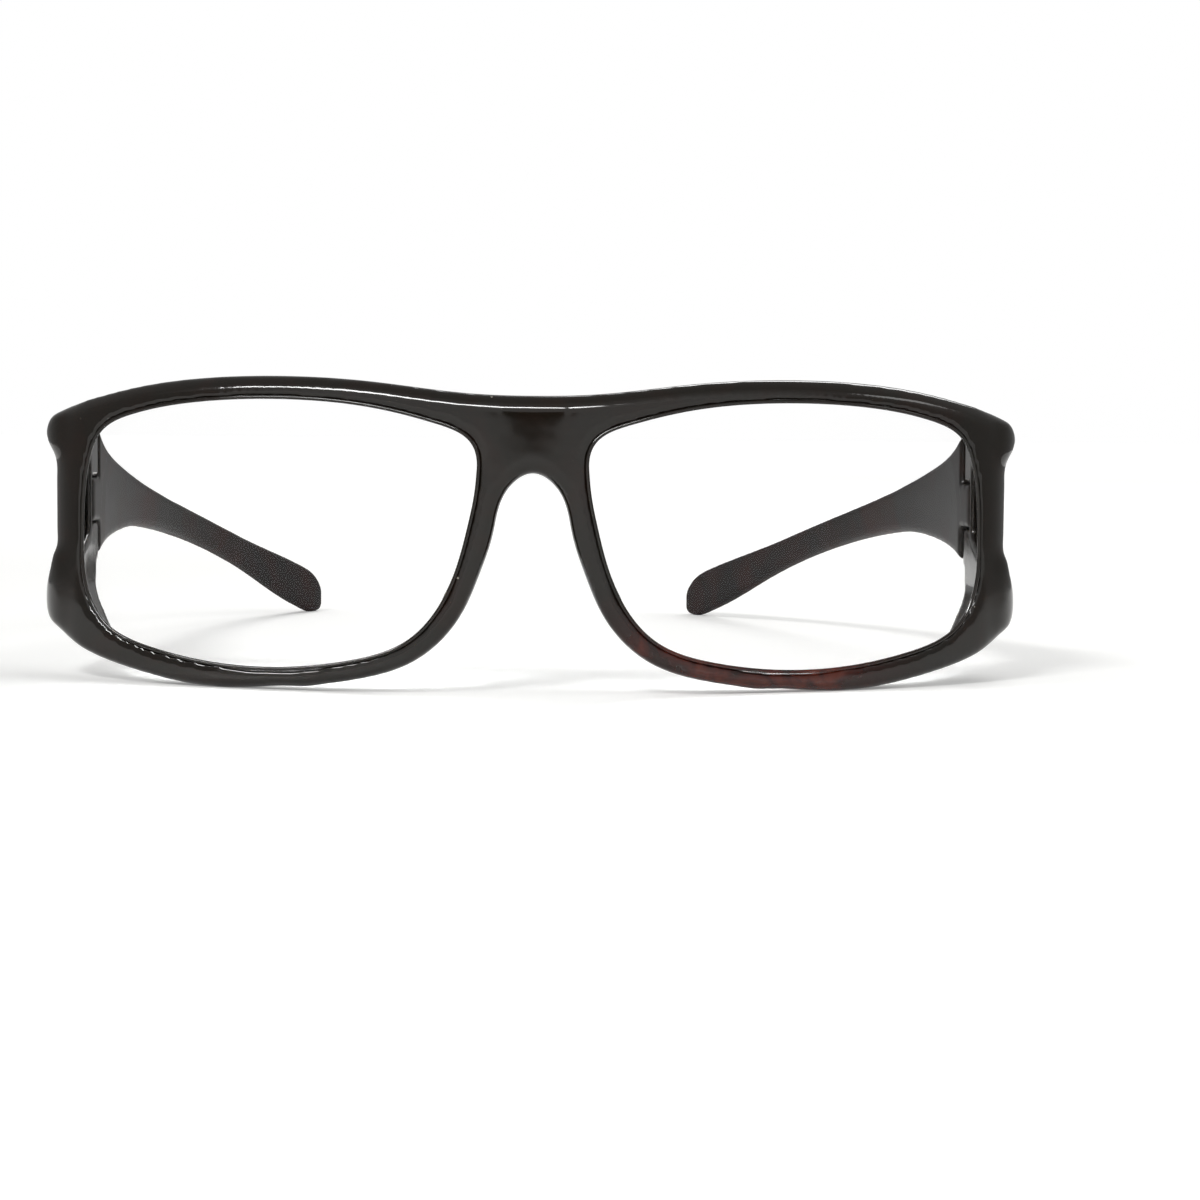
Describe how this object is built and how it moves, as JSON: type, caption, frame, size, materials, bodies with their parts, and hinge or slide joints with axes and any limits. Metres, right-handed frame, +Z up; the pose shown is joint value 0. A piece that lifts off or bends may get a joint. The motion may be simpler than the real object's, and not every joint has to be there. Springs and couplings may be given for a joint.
{
  "type": "fitover sunglasses",
  "caption": "Wraparound fitover sunglasses with deep side shields, dark side windows, curved front lenses and folding temples on screw hinges.",
  "frame": {"origin": "on the table under the middle of the whole", "axes": "+X to the wearer's left, -Y forward as the wearer looks, +Z up"},
  "size_m": [0.148, 0.164, 0.0452],
  "materials": {
    "frame": "polished dark tortoise",
    "front_lens": "clear, hard coated",
    "side_lens": "dark tinted, polished",
    "temple": "satin dark brown",
    "screw": "plain"
  },
  "bodies": {
    "front": {"front_frame": "frame", "left_front_lens": "front_lens", "right_front_lens": "front_lens", "left_side_lens": "side_lens", "right_side_lens": "side_lens", "left_hinge_screw": "screw", "right_hinge_screw": "screw"},
    "left_temple": {"left_temple": "temple"},
    "right_temple": {"right_temple": "temple"}
  },
  "joints": [
    {"name": "left_hinge", "type": "hinge", "parent": "front", "child": "left_temple", "pos_m": [0.0704, -0.03732, 0.026], "axis": [0, 0, 1], "range_deg": [-5.7, 82.3]},
    {"name": "right_hinge", "type": "hinge", "parent": "front", "child": "right_temple", "pos_m": [-0.0704, -0.03732, 0.026], "axis": [0, 0, -1], "range_deg": [0, 78]}
  ]
}
